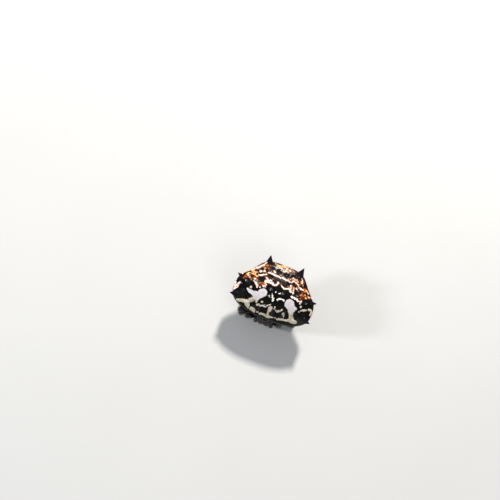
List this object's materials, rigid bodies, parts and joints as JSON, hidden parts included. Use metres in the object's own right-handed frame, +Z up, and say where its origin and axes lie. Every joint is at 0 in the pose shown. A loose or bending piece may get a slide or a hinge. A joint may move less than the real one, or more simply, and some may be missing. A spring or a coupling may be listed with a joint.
{
  "type": "spiny orb weaver spider model",
  "caption": "Life-size still model of a spiny orb weaver: broad hard abdomen with short spines, drawn-in legs, standing on its feet.",
  "frame": {"origin": "middle of the model's footprint box, on the floor under its feet", "axes": "+Z up, -Y where the head points, +X the spider's left side"},
  "size_m": [0.0104, 0.0078, 0.005],
  "materials": {
    "shield": "glossy black cuticle with cream, white and rust markings",
    "carapace": "satin black cuticle with fine pale hairs",
    "legs": "satin black-brown cuticle with fine hairs",
    "eyes": "wet black lens"
  },
  "bodies": {
    "root": {"abdomen": "shield", "cephalothorax": "carapace", "chelicera_left": "carapace", "chelicera_right": "carapace", "palp_left": "legs", "palp_right": "legs", "spinnerets": "legs", "leg_1_left": "legs", "leg_1_right": "legs", "leg_2_left": "legs", "leg_2_right": "legs", "leg_3_left": "legs", "leg_3_right": "legs", "leg_4_left": "legs", "leg_4_right": "legs", "eye_anterior_median_left": "eyes", "eye_anterior_median_right": "eyes", "eye_posterior_median_left": "eyes", "eye_posterior_median_right": "eyes", "eye_anterior_lateral_left": "eyes", "eye_anterior_lateral_right": "eyes", "eye_posterior_lateral_left": "eyes", "eye_posterior_lateral_right": "eyes"}
  },
  "joints": []
}
